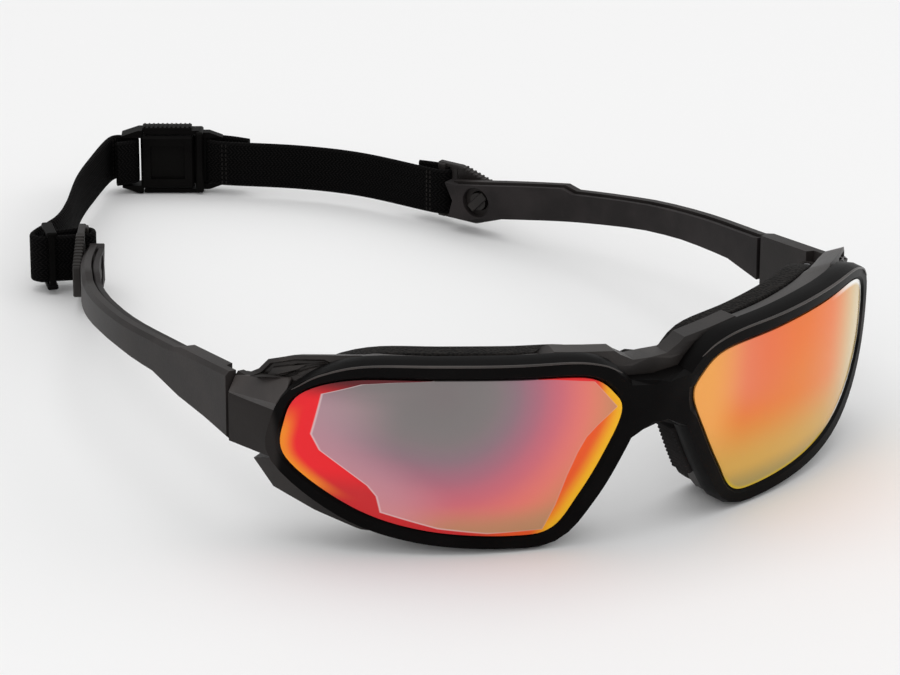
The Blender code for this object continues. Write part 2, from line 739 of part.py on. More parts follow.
def adjuster():
    turn = math.atan2(RUN[1], RUN[0])
    half = STRAP_WIDE / 2 + GAP

    def at(run, across, z):
        p = SLIDER + RUN * run + ACROSS * across
        return (p[0], p[1], STRAP_Z + z)

    rail_off = LAYER + STRAP_THICK / 2 + GAP + 0.5
    tall = 2.0 * (half + 1.0)
    obj = box("strap_adjuster", (2.0, 1.0, tall), at(0.0, 0.0, 0.0), turn)
    for sign in (1, -1):
        plate = box("plate", (2.6, 2.0 * rail_off + 1.4, 1.2), at(0.0, 0.0, sign * (half + 0.6)), turn, 0.3)
        combine(obj, plate, "UNION")
        rail = box("rail", (1.4, 1.0, tall - 0.3), at(0.0, sign * rail_off, 0.0), turn)
        combine(obj, rail, "UNION")
    tidy(obj)
    paint(obj, obj.name, (0.035, 0.035, 0.037), 0.5)
    return obj


def piece(size, s, z, off=0.0, bevel=0.0, name="block"):
    p = along(s, off)
    return box(name, size, (p[0], p[1], BUCKLE_Z + z), BUCKLE_TURN, bevel)


def buckle_socket():
    tall = STRAP_WIDE + 1.2
    ears = (EARS[1] - EARS[0], EAR_THICK, 2 * BUCKLE_HALF)
    obj = piece(ears, sum(EARS) / 2, 0.0, 0.0, 0.0, "buckle_socket")
    body = (BODY[1] - BODY[0], BUCKLE_THICK - 0.4, BODY_TALL)
    combine(obj, piece(body, sum(BODY) / 2, 0.0, 0.0, 0.6), "UNION")
    gap = (SOCKET_BAR + 0.9, BODY[0])
    combine(obj, piece((gap[1] - gap[0], 9.0, tall), sum(gap) / 2, 0.0), "DIFFERENCE")
    for off in (2.5, -2.5):
        combine(obj, piece((3.6, 3.0, tall), SOCKET_BAR - 0.3, 0.0, off), "DIFFERENCE")
    slot = (TONGUE_SLOT[1] - TONGUE_SLOT[0], 2.6, 8.8)
    combine(obj, piece(slot, sum(TONGUE_SLOT) / 2, 0.0), "DIFFERENCE")
    combine(obj, piece((8.6, 2.0, 8.8), sum(BODY) / 2, 0.0, 2.8), "DIFFERENCE")
    tidy(obj)
    paint(obj, obj.name, (0.03, 0.03, 0.032), 0.5)
    return obj


def buckle_plug():
    obj = piece((2.0, BUCKLE_THICK, 2 * BUCKLE_HALF - 0.6), SHOULDER, 0.0, 0.0, 0.4, "buckle_plug")
    tongue = (SHOULDER - TONGUE_SLOT[0] - GAP, 2.0, 8.2)
    combine(obj, piece(tongue, (SHOULDER + TONGUE_SLOT[0] + GAP) / 2, 0.0), "UNION")
    ear = STRAP_WIDE / 2 + GAP + 0.75
    arm = (SHOULDER - EARS[1] - GAP, 3.6, 1.0)
    for sign in (1, -1):
        combine(obj, piece(arm, (SHOULDER + EARS[1] + GAP) / 2, sign * (BODY_TALL / 2 + GAP + 0.5)), "UNION")
        combine(obj, piece((6.4, 2.4, 1.5), PLUG_BAR - 1.7, sign * ear), "UNION")
    combine(obj, piece((2.2, 2.2, 2.0 * ear + 0.6), PLUG_BAR, 0.0, 0.0, 0.6), "UNION")
    tidy(obj)
    paint(obj, obj.name, (0.032, 0.032, 0.034), 0.5)
    return obj


MOVERS["clip_right"].append(right_front())
MOVERS["adjuster"] = [adjuster()]
SOCKET = buckle_socket()
MOVERS["strap_back"] = [SOCKET, right_rear(), left_strap()]
MOVERS["buckle_plug"] = [buckle_plug()]


def pivot(name, point, parent=None):
    empty = bpy.data.objects.new(name, None)
    empty.empty_display_size = 0.01
    empty.location = place(point)
    bpy.context.collection.objects.link(empty)
    if parent is not None:
        empty.parent = parent
        empty.matrix_parent_inverse = parent.matrix_world.inverted()
    bpy.context.view_layer.update()
    return empty


PIVOTS = {}
for word, sign in (("right", -1), ("left", 1)):
    PIVOTS["temple_" + word] = pivot("pivot_temple_" + word, (sign * HINGE_X, HINGE_Y, HINGE_Z), FRAME)
    key_point = tuple(peg_frame(sign)[0])
    PIVOTS["clip_" + word] = pivot("pivot_clip_" + word, key_point, PIVOTS["temple_" + word])
PIVOTS["strap_back"] = pivot("pivot_strap_back", (0.0, PEG_Y, PEG_Z), FRAME)
PIVOTS["adjuster"] = pivot("pivot_adjuster", (SLIDER[0], SLIDER[1], STRAP_Z), PIVOTS["clip_right"])
plug_point = along(SHOULDER)
PIVOTS["buckle_plug"] = pivot("pivot_buckle_plug", (plug_point[0], plug_point[1], BUCKLE_Z),
                              PIVOTS["strap_back"])
for key, items in MOVERS.items():
    for item in items:
        item.parent = PIVOTS[key]
        item.matrix_parent_inverse = PIVOTS[key].matrix_world.inverted()
fixed = [o for o in bpy.data.objects if o.type == "MESH" and o.parent is None and o is not FRAME]
for item in fixed:
    item.parent = FRAME
    item.matrix_parent_inverse = FRAME.matrix_world.inverted()
bpy.context.view_layer.update()
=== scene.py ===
import math
import bmesh
import bpy
from mathutils import Matrix, Vector


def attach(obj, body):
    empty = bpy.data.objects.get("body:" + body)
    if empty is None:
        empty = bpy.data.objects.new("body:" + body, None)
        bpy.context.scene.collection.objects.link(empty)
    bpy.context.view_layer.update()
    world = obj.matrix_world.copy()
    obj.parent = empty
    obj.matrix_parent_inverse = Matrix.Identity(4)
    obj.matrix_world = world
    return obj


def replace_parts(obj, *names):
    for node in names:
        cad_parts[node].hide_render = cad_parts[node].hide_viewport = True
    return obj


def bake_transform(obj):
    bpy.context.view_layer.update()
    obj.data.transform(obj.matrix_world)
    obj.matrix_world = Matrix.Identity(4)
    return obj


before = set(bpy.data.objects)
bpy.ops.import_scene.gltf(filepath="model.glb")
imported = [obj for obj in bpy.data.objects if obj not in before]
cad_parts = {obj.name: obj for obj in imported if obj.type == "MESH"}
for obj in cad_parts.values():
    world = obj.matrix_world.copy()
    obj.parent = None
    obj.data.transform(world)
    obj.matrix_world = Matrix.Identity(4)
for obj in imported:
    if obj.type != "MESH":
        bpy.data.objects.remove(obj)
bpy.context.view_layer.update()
print("frame loaded:", len(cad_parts), "nodes")

mm = 0.001
deskShift = Vector((0.0, -122.87, 30.22))  # from the goggles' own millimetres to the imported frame
mapSpan = 100.0  # millimetres across a whole UV square
mapDrop = 40.0  # how far below zero height the lens map starts, millimetres
rimSpan = 10.0  # the rim map runs from 0 at a lens edge to 1 this many millimetres in


def spot(x, y, z):
    return (Vector((x, y, z)) + deskShift) * mm


def tint(red, green, blue):  # a screen colour as a linear one
    levels = (c / 255.0 for c in (red, green, blue))
    return tuple(c / 12.92 if c < 0.04045 else ((c + 0.055) / 1.055) ** 2.4 for c in levels)


class Value:
    def __init__(self, finish, socket):
        self.finish = finish
        self.socket = socket

    def calc(self, operation, first, second):
        return self.finish.node("ShaderNodeMath", {"operation": operation}, {0: first, 1: second})

    def __add__(self, other): return self.calc("ADD", self, other)
    def __radd__(self, other): return self.calc("ADD", other, self)
    def __sub__(self, other): return self.calc("SUBTRACT", self, other)
    def __rsub__(self, other): return self.calc("SUBTRACT", other, self)
    def __mul__(self, other): return self.calc("MULTIPLY", self, other)
    def __rmul__(self, other): return self.calc("MULTIPLY", other, self)
    def __truediv__(self, other): return self.calc("DIVIDE", self, other)
    def __rtruediv__(self, other): return self.calc("DIVIDE", other, self)
    def __pow__(self, other): return self.calc("POWER", self, other)
    def __neg__(self): return self.calc("MULTIPLY", self, -1.0)


class Finish:
    def __init__(self, name):
        self.material = bpy.data.materials.new(name)
        self.material.use_nodes = True
        self.tree = self.material.node_tree
        self.shader = self.tree.nodes["Principled BSDF"]

    def plug(self, socket, value):
        if isinstance(value, Value):
            self.tree.links.new(value.socket, socket)
        elif isinstance(value, (tuple, list)) and len(value) == 3 and socket.type == "RGBA":
            socket.default_value = (*value, 1.0)
        else:
            socket.default_value = value

    def node(self, kind, settings=None, sockets=None, out=0):
        made = self.tree.nodes.new(kind)
        for key, value in (settings or {}).items():
            if key == "stops":
                ramp = made.color_ramp
                while len(ramp.elements) < len(value):
                    ramp.elements.new(1.0)
                for element, (place, colour) in zip(ramp.elements, value):
                    element.position = place
                    element.color = (*colour, 1.0)
            elif key == "curve":
                made.color_ramp.interpolation = value
            else:
                setattr(made, key, value)
        for key, value in (sockets or {}).items():
            self.plug(made.inputs[key], value)
        return Value(self, made.outputs[out])

    def where(self):
        return self.node("ShaderNodeTexCoord", out="Object")

    def chart(self, name, axis):  # one coordinate of a piece's own UV map
        point = self.node("ShaderNodeUVMap", {"uv_map": name})
        return self.node("ShaderNodeSeparateXYZ", {}, {0: point}, out=axis)

    def blend(self, factor, first, second, how="MIX"):
        return self.node("ShaderNodeMix", {"data_type": "RGBA", "blend_type": how},
                         {0: factor, 6: first, 7: second}, out=2)

    def step(self, value, low, high):  # smooth 0 to 1 between two values
        if low > high:
            return 1.0 - self.step(value, high, low)
        return self.node("ShaderNodeMapRange", {"interpolation_type": "SMOOTHSTEP"},
                         {"Value": value, "From Min": low, "From Max": high})

    def least(self, first, second):
        return self.node("ShaderNodeMath", {"operation": "MINIMUM"}, {0: first, 1: second})

    def wave(self, value, period):
        return self.node("ShaderNodeMath", {"operation": "SINE"}, {0: value * (2.0 * math.pi / period)})

    def zigzag(self, value, size):
        return self.node("ShaderNodeMath", {"operation": "PINGPONG"}, {0: value, 1: size})

    def ramp(self, value, stops, curve="CARDINAL"):
        return self.node("ShaderNodeValToRGB", {"curve": curve, "stops": stops}, {0: value})

    def lookup(self, value, table, base=0.0, span=100.0):  # a number read off a line through points
        low, high = table[0][0], table[-1][0]
        share = self.node("ShaderNodeMapRange", {}, {"Value": value, "From Min": low, "From Max": high})
        stops = [((x - low) / (high - low), ((y - base) / span,) * 3) for x, y in table]
        red = self.node("ShaderNodeSeparateColor", {}, {0: self.ramp(share, stops, "LINEAR")})
        return red * span + base

    def noise(self, scale, detail=3.0, rough=0.5):
        return self.node("ShaderNodeTexNoise", {},
                         {"Vector": self.where(), "Scale": scale, "Detail": detail, "Roughness": rough})

    def bump(self, height, strength, distance):
        return self.node("ShaderNodeBump", {},
                         {"Height": height, "Strength": strength, "Distance": distance})

    def put(self, **values):
        for key, value in values.items():
            self.plug(self.shader.inputs[key.replace("_", " ")], value)
        return self.material


lugReach = (-0.0895, -0.0882)  # where the rims end and the hinge lugs begin, in the frame's own Y


def mouldedPlastic(name, dark, pale, rough, gloss=0.12, lugs=None, grain=2600.0, depth=0.00005):
    f = Finish(name)
    cloud = f.noise(90.0, 3.0)
    speck = f.noise(grain, 2.0)
    scuff = f.step(f.noise(420.0, 5.0, 0.7), 0.62, 0.8)
    colour = f.blend(f.step(cloud, 0.35, 0.7), dark, pale)
    # the hinge lugs are painted paler than the rims, a painted highlight standing in for light on their
    # sloping tops
    if lugs:
        behind = f.step(f.node("ShaderNodeSeparateXYZ", {}, {0: f.where()}, out=1), *lugReach)
        colour = f.blend(behind, colour, lugs)
    colour = f.blend(scuff * 0.25, colour, tuple(2.2 * c for c in pale))
    return f.put(Base_Color=colour, Roughness=rough + 0.14 * (cloud - 0.5) + 0.1 * (speck - 0.5),
                 Normal=f.bump(speck, 0.4, depth), Specular_IOR_Level=gloss)


def wovenBand(name):
    f = Finish(name)
    run = f.chart("weave", 0) * mapSpan
    rise = f.chart("weave", 1) * mapSpan
    bone = f.wave(run + f.zigzag(rise, 1.3), 0.95)  # herringbone, millimetres
    cords = f.wave(rise, 0.52)
    fuzz = f.noise(1900.0, 3.0, 0.6)
    selvedge = f.step(rise, 0.9, 0.3) + f.step(rise, 10.7, 11.3)
    height = 0.55 * bone + 0.3 * cords + 0.5 * fuzz
    lit = f.step(height, 0.1, 1.0)
    colour = f.blend(lit, tint(2, 2, 2), tint(17, 15, 15))
    colour = f.blend(selvedge * 0.6, colour, tint(15, 14, 14))
    return f.put(Base_Color=colour, Roughness=0.95 - 0.15 * lit, Normal=f.bump(height, 0.8, 0.00016),
                 Specular_IOR_Level=0.06)


def foamSkin(name):
    f = Finish(name)
    cells = f.node("ShaderNodeTexVoronoi", {}, {"Vector": f.where(), "Scale": 1500.0})
    cloud = f.noise(260.0, 4.0, 0.6)
    colour = f.blend(f.step(cells + 0.5 * (cloud - 0.5), 0.2, 0.75), tint(5, 4, 4), tint(26, 23, 21))
    return f.put(Base_Color=colour, Roughness=0.97 - 0.1 * cloud, Normal=f.bump(cells, 0.9, 0.0003),
                 Specular_IOR_Level=0.2)


def pinSteel(name):
    f = Finish(name)
    brush = f.noise(900.0, 4.0, 0.7)
    colour = f.blend(brush, (0.32, 0.32, 0.33), (0.5, 0.5, 0.52))
    return f.put(Base_Color=colour, Metallic=1.0, Roughness=0.25 + 0.2 * brush)


# a lens layer is a colour, its strength, and the places between which it fades in, in millimetres:
# across from the nose, up, in from the lens edge, or in from the side of the painted reflection
coatWithReflection = {  # right lens: a painted reflection of a softbox, pale grey to pink with a fine painted highlight on its edge, inside the red and gold coating band
    "side": [(-27.0, 53.0), (-20.8, 55.1), (-17.0, 56.0), (-14.6, 57.6), (-7.5, 65.4), (-4.0, 66.8),
             (5.5, 65.3), (8.7, 59.0), (9.6, 54.0), (11.0, 40.0)],
    "nose": [(-27.0, 24.5), (-20.0, 21.9), (-13.0, 20.0), (-7.8, 18.1), (-4.5, 16.4), (-2.0, 14.0),
             (1.6, 9.8), (8.1, 15.1), (9.6, 24.0), (11.0, 40.0)],
    "low": [(18.0, -25.6), (23.9, -25.7), (35.2, -25.8), (44.8, -24.3), (55.1, -20.8), (62.0, -20.8)],
    "core": (45.0, 7.0), "coreTurn": (43.0, 47.0), "reachDown": 16.5, "reachNose": 15.0, "reachSide": 23.0,
    "reachAll": 2.6,
    # painted reflection: grey in its middle, turning pink and salmon where it thins out over the coating
    "paintedReflection": [(0.0, tint(122, 115, 115)), (0.25, tint(130, 120, 121)), (0.38, tint(152, 114, 126)),
             (0.5, tint(186, 108, 124)), (0.62, tint(216, 112, 118)), (0.76, tint(230, 128, 108)),
             (0.95, tint(196, 142, 98))],
    "reflectionLayers": [
        (tint(200, 160, 168), 0.5, [("reflectionSide", 15.0, 0.5), ("up", 9.0, 2.0)]),
        (tint(190, 142, 104), 0.8, [("up", -18.0, -25.0), ("across", 54.0, 40.0)]),
    ],
    "red": tint(240, 24, 34),
    "redLayers": [
        (tint(88, 10, 20), 1.0, [("up", 3.5, 9.0)]),
        (tint(206, 34, 38), 1.0, [("up", -11.0, -17.0)]),
        (tint(252, 142, 24), 1.0, [("edge", 2.6, 0.2), ("up", 3.0, -5.0), ("up", -19.0, -14.0)]),
    ],
    "gold": tint(238, 86, 24),
    "goldLayers": [
        (tint(248, 184, 16), 1.0, [("edge", 4.4, 0.2)]),
        (tint(232, 34, 36), 1.0, [("up", 3.4, 6.6), ("across", 11.0, 15.0)]),
        (tint(236, 84, 26), 1.0, [("up", -23.5, -25.5), ("across", 22.0, 27.0)]),
    ],
    "goldToRed": (29.0, 42.0),
    # the fine pale line is a painted highlight along the edge of the painted reflection
    "line": tint(236, 214, 214), "paintedEdgeShare": (0.12, 0.4), "paintedEdgeTurn": (26.0, 44.0),
}
sunsetCoatAndGlint = {  # left lens: orange that turns to sand at the bottom and the temple, with a painted glint along its edge, white on the temple side
    "base": tint(238, 128, 40),
    "layers": [
        (tint(242, 119, 36), 1.0, [("up", -6.0, 8.0)]),
        (tint(242, 144, 96), 1.0, [("across", 30.0, 18.0), ("up", -9.0, 1.0)]),
        (tint(236, 116, 98), 0.45, [("across", 14.0, 25.0), ("across", 42.0, 26.0), ("up", -13.0, -1.0)]),
        (tint(246, 168, 82), 1.0, [("across", 24.0, 12.0)]),
        (tint(218, 170, 78), 1.0, [("up", -6.0, -21.0), ("across", 70.0, 50.0)]),
        (tint(176, 152, 84), 1.0, [("up", -20.0, -26.0)]),
        (tint(210, 184, 96), 0.9, [("across", 50.0, 66.0)]),
        # painted glint along the lens edge: a yellow line at the bottom and a white line on the temple side
        (tint(214, 180, 30), 1.0, [("edge", 1.1, 0.2), ("up", -21.0, -24.0)]),
        (tint(254, 254, 250), 1.0, [("edge", 1.4, 0.7), ("across", 50.0, 62.0)]),
    ],
}


def layered(f, colour, layers, places):
    for tone, share, steps in layers:
        for place, low, high in steps:
            share = share * f.step(places[place], low, high)
        colour = f.blend(share, colour, tone)
    return colour


def coatWithReflectionColours(f, places):
    p = coatWithReflection
    u, v = places["across"], places["up"]
    toSide = f.lookup(v, p["side"]) - u
    toNose = u - f.lookup(v, p["nose"])
    inReflection = f.least(f.least(toSide, toNose), v - f.lookup(u, p["low"], -mapDrop))
    reach = p["reachNose"] + (p["reachSide"] - p["reachNose"]) * f.step(u, *p["coreTurn"])
    across = (u - p["core"][0]) / reach
    down = (v - p["core"][1]) / p["reachDown"]
    paintedReflection = f.ramp((across * across + down * down) ** 0.5 / p["reachAll"], p["paintedReflection"])
    paintedReflection = layered(f, paintedReflection, p["reflectionLayers"], {**places, "reflectionSide": toSide})
    red = layered(f, p["red"], p["redLayers"], places)
    gold = layered(f, p["gold"], p["goldLayers"], places)
    colour = f.blend(f.step(u, *p["goldToRed"]), gold, red)
    # the painted reflection lies over the coating colours inside its outline
    colour = f.blend(f.step(inReflection, -0.1, 0.1), colour, paintedReflection)
    faint, more = p["paintedEdgeShare"]
    line = f.step(inReflection, -0.2, 0.0) * f.step(inReflection, 0.34, 0.08)  # a painted highlight along the edge of the painted reflection
    return f.blend(line * (faint + more * f.step(u, *p["paintedEdgeTurn"])), colour, p["line"])


def sunsetAndGlintColours(f, places):
    return layered(f, sunsetCoatAndGlint["base"], sunsetCoatAndGlint["layers"], places)


def mirrorCoat(name, colours):
    f = Finish(name)
    places = {"across": f.chart("flat", 0) * mapSpan, "up": f.chart("flat", 1) * mapSpan - mapDrop,
              "edge": f.chart("rim", 0) * rimSpan}
    haze = f.noise(60.0, 2.0)
    facing = f.node("ShaderNodeTexCoord", out="Normal")
    inner = f.step(f.node("ShaderNodeSeparateXYZ", {}, {0: facing}, out=1), -0.05, 0.05)
    smoke = f.blend(haze, tint(30, 24, 22), tint(44, 36, 32))  # the uncoated side next to the eye
    return f.put(Base_Color=f.blend(inner, colours(f, places), smoke), Roughness=0.1 + 0.05 * haze,
                 Specular_IOR_Level=0.25, Coat_Weight=0.12, Coat_Roughness=0.03)


finishes = {
    "frame": mouldedPlastic("frame nylon", tint(3, 2, 2), tint(7, 6, 6), 0.42, 0.05, tint(40, 37, 36)),
    "carriage": mouldedPlastic("carriage nylon", tint(35, 32, 31), tint(48, 44, 42), 0.44, 0.25),
    "temple": mouldedPlastic("temple nylon", tint(35, 32, 31), tint(47, 43, 42), 0.5),
    "liner": mouldedPlastic("liner nylon", tint(31, 28, 28), tint(43, 39, 39), 0.58),
    "clip": mouldedPlastic("clip acetal", tint(29, 26, 25), tint(41, 38, 36), 0.46, 0.2),
    "buckle": mouldedPlastic("buckle acetal", tint(3, 2, 2), tint(8, 7, 6), 0.46, 0.05),
    "rubber": mouldedPlastic("nose rubber", tint(28, 26, 26), tint(40, 37, 37), 0.7),
    # paler lug finish: a painted highlight for the lit sloping top of each hinge lug
    "lug": mouldedPlastic("lug painted highlight", tint(50, 46, 45), tint(63, 58, 56), 0.42, 0.25),
    "ridge": mouldedPlastic("brow painted highlight", tint(48, 44, 42), tint(66, 60, 57), 0.36, 0.35),
    # paler finish for the brow bead, a painted highlight on the near-black frame
    "thread": mouldedPlastic("sewing thread", tint(24, 22, 21), tint(40, 37, 36), 0.8),
    "foam": foamSkin("gasket foam"),
    "webbing": wovenBand("elastic webbing"),
    "lensRight": mirrorCoat("right lens coating with painted reflection", coatWithReflectionColours),
    "lensLeft": mirrorCoat("left lens coating with painted glint", sunsetAndGlintColours),
    "steel": pinSteel("pin steel"),
}
print("finishes made")


def newPiece(name, bm, finish, body, smoothAngle=32.0):
    limit = math.radians(smoothAngle)
    for face in bm.faces:
        face.smooth = True
    for edge in bm.edges:
        edge.smooth = len(edge.link_faces) != 2 or edge.calc_face_angle(0.0) < limit
    mesh = bpy.data.meshes.new(name)
    bm.to_mesh(mesh)
    bm.free()
    piece = bpy.data.objects.new(name, mesh)
    bpy.context.scene.collection.objects.link(piece)
    mesh.materials.append(finishes[finish])
    if body:
        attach(piece, body)
    return piece


def rounded(piece, width, segments=2, angle=32.0):
    soft = piece.modifiers.new("edges", "BEVEL")
    soft.width = width
    soft.segments = segments
    soft.limit_method = "ANGLE"
    soft.angle_limit = math.radians(angle)


cleaning = {"merge": 0.000002, "flat": 0.6}  # metres between doubles, degrees between faces of one plane


def mergedCopy(node):
    bm = bmesh.new()
    bm.from_mesh(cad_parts[node].data)
    bmesh.ops.remove_doubles(bm, verts=bm.verts, dist=cleaning["merge"])
    bmesh.ops.dissolve_limit(bm, angle_limit=math.radians(cleaning["flat"]), verts=bm.verts, edges=bm.edges)
    bmesh.ops.recalc_face_normals(bm, faces=bm.faces)
    return bm


strap = {  # webbing section, then where the clips, adjuster and buckle hold it, seen from above
    "wide": 11.6, "thick": 1.3, "level": -21.8, "round": 0.5, "angle": 50.0,
    "peg": (53.949, 176.0), "normal": (0.881897, 0.471464), "barOut": 0.8, "barBack": 13.0,
    "loop": 2.15, "corner": 0.75, "layer": 1.75, "slider": (-56.75, 189.9),
    "buckle": (-11.3, 242.7), "axis": (0.888557, -0.458766), "socketBar": -1.2, "plugBar": 21.3,
}
buckleTurn = math.atan2(strap["axis"][1], strap["axis"][0])


def alongBuckle(run):
    return Vector(strap["buckle"]) + Vector(strap["axis"]) * run


def templeSides(side):  # outwards and backwards at the end of a temple
    outward = Vector((side * strap["normal"][0], strap["normal"][1]))
    return outward, Vector((-side * outward.y, side * outward.x))


def fromPeg(side, out, run):
    outward, backward = templeSides(side)
    return Vector((side * strap["peg"][0], strap["peg"][1])) + outward * out + backward * run


def templeTurn(side):
    backward = templeSides(side)[1]
    return math.atan2(backward.y, backward.x)


earCuts = {  # two points (along the buckle, up) on each slope that rounds off a pair of ears
    "buckle_socket": [((1.6, 8.4), (-2.7, 6.9))], "buckle_plug": [((19.4, 7.6), (22.8, 6.3))],
}


def trimEars(bm, cuts):
    axis = Vector((*strap["axis"], 0.0))
    flank = Vector((-axis.y, axis.x, 0.0))
    for (start, high), (end, low) in cuts:
        for sign in (1, -1):
            foot = spot(*alongBuckle(start), strap["level"] + sign * high)
            normal = (axis * (end - start) + Vector((0.0, 0.0, sign * (low - high)))).cross(flank)
            normal *= math.copysign(1.0, normal.z * sign)
            whole = [*bm.verts, *bm.edges, *bm.faces]
            cut = bmesh.ops.bisect_plane(bm, geom=whole, plane_co=foot, plane_no=normal, clear_outer=True)
            rim = [g for g in cut["geom_cut"] if isinstance(g, bmesh.types.BMEdge)]
            bmesh.ops.holes_fill(bm, edges=rim, sides=0)
    bmesh.ops.recalc_face_normals(bm, faces=bm.faces)


moulded = [  # node, piece, finish, body, edge rounding in mm, angle that counts as an edge
    ("front_frame", "frontFrame", "frame", "front", 0.35, 24.0),
    ("rear_carriage", "rearCarriage", "carriage", "front", 0.3, 24.0),
    ("nose_pad_right", "nosePadRight", "rubber", "front", 0.2, 32.0),
    ("nose_pad_left", "nosePadLeft", "rubber", "front", 0.2, 32.0),
    ("hinge_pin_right", "hingePinRight", "steel", "front", 0.15, 40.0),
    ("hinge_pin_left", "hingePinLeft", "steel", "front", 0.15, 40.0),
    ("temple_arm_right", "templeArmRight", "temple", "temple_right", 0.3, 24.0),
    ("temple_arm_left", "templeArmLeft", "temple", "temple_left", 0.3, 24.0),
    ("temple_liner_right", "templeLinerRight", "liner", "temple_right", 0.2, 24.0),
    ("temple_liner_left", "templeLinerLeft", "liner", "temple_left", 0.2, 24.0),
    ("strap_clip_right", "strapClipRight", "clip", "clip_right", 0.15, 32.0),
    ("strap_clip_left", "strapClipLeft", "clip", "clip_left", 0.15, 32.0),
    ("strap_adjuster", "strapAdjuster", "buckle", "adjuster", 0.2, 32.0),
    ("buckle_socket", "buckleSocket", "buckle", "strap_back", 0.3, 32.0),
    ("buckle_plug", "bucklePlug", "buckle", "buckle_plug", 0.25, 32.0),
]
for node, name, finish, body, width, angle in moulded:
    copied = mergedCopy(node)
    trimEars(copied, earCuts.get(node, []))
    made = newPiece(name, copied, finish, body, angle)
    rounded(made, width * mm, 2, angle)
    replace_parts(made, node)

shoulder = {  # wearer's left: sloping top from the rim corner back to the hinge lug, then its underside
    "facet": [(73.6, 50.5, 2.6), (69.9, 33.2, 5.1), (72.3, 33.5, 2.0), (75.4, 50.5, -1.0)],
    "crown": [(70.8, 44.0, 4.3), (68.6, 35.6, 6.4), (67.5, 35.4, 6.3)],
    "under": [(72.2, 50.4, -1.0), (69.4, 34.6, 2.0), (71.4, 34.6, -1.0), (74.2, 50.4, -3.0)],
    "round": 0.25, "angle": 20.0,
}


def makeShoulder(name, side):
    bm = bmesh.new()
    for x, y, z in shoulder["facet"] + shoulder["crown"] + shoulder["under"]:
        bm.verts.new(spot(side * x, y, z))
    bmesh.ops.convex_hull(bm, input=bm.verts)
    bmesh.ops.delete(bm, geom=[v for v in bm.verts if not v.link_faces], context="VERTS")
    bmesh.ops.recalc_face_normals(bm, faces=bm.faces)
    # the shoulder takes the paler lug finish, a painted highlight on its sloping top
    piece = newPiece(name, bm, "lug", "front", shoulder["angle"])
    rounded(piece, shoulder["round"] * mm, 2, shoulder["angle"])


makeShoulder("lugShoulderRight", -1)
makeShoulder("lugShoulderLeft", 1)
print("moulded pieces made")


def smoothLine(points, count, closed=False, pieces=16):  # even steps on a smooth curve through the points
    knots = [Vector(p) for p in points]
    size = len(knots)
    fine = []
    for i in range(size if closed else size - 1):
        b, c = knots[i], knots[(i + 1) % size]
        a = knots[i - 1] if closed or i else 2 * b - c
        d = knots[(i + 2) % size] if closed or i + 2 < size else 2 * c - b
        for k in range(pieces):
            t = k / pieces
            fine.append(0.5 * (2 * b + (c - a) * t + (2 * a - 5 * b + 4 * c - d) * t * t
                               + (3 * b - a - 3 * c + d) * t ** 3))
    fine.append(knots[0] if closed else knots[-1])
    runs = [0.0]
    for a, b in zip(fine, fine[1:]):
        runs.append(runs[-1] + (b - a).length)
    line = []
    k = 0
    for i in range(count):
        goal = runs[-1] * i / (count if closed else count - 1)
        while k < len(fine) - 2 and runs[k + 1] < goal:
            k += 1
        share = (goal - runs[k]) / max(runs[k + 1] - runs[k], 1e-9)
        line.append(fine[k].lerp(fine[k + 1], min(max(share, 0.0), 1.0)))
    return line


def nextRing(bm, edges, ring):  # extrudes an open rim, each new vertex keeping the mark of the old one
    made = bmesh.ops.extrude_edge_only(bm, edges=edges)["geom"]
    fresh = {g for g in made if isinstance(g, bmesh.types.BMVert)}
    edges = [g for g in made if isinstance(g, bmesh.types.BMEdge) and fresh.issuperset(g.verts)]
    marks = {v: next(ring[o] for o in (e.other_vert(v) for e in v.link_edges) if o in ring) for v in fresh}
    return edges, marks


def headingAt(line, i):
    return (line[min(i + 1, len(line) - 1)] - line[max(i - 1, 0)]).normalized()


lensShape = {
    "outline": [(8.7, 0.0), (10.4, 4.7), (16.5, 9.0), (31.0, 10.1), (46.0, 10.4), (60.0, 9.5), (68.1, 5.3),
                (70.8, -1.8), (70.2, -10.8), (59.8, -20.2), (47.2, -24.9), (30.0, -26.8), (22.0, -25.6),
                (17.0, -18.0), (12.5, -9.3)],
    "middle": (39.0, -6.0), "gap": 0.1, "front": -0.1, "thick": 2.0, "points": 144, "angle": 50.0,
    "rings": (0.995, 0.985, 0.97, 0.95, 0.92, 0.88, 0.83, 0.77,
              0.7, 0.62, 0.53, 0.44, 0.35, 0.26, 0.17, 0.08),
    "wrap2": 0.004185, "wrap4": 4.69e-7, "lean": 0.0031, "leanTop": 10.0,
}


def onWrap(x, z, depth):
    s = lensShape
    slope = 2.0 * s["wrap2"] * x + 4.0 * s["wrap4"] * x ** 3
    size = math.hypot(1.0, slope)
    back = s["wrap2"] * x * x + s["wrap4"] * x ** 4 + s["lean"] * max(0.0, s["leanTop"] - z) ** 2
    return x - depth * slope / size, back + depth / size, z


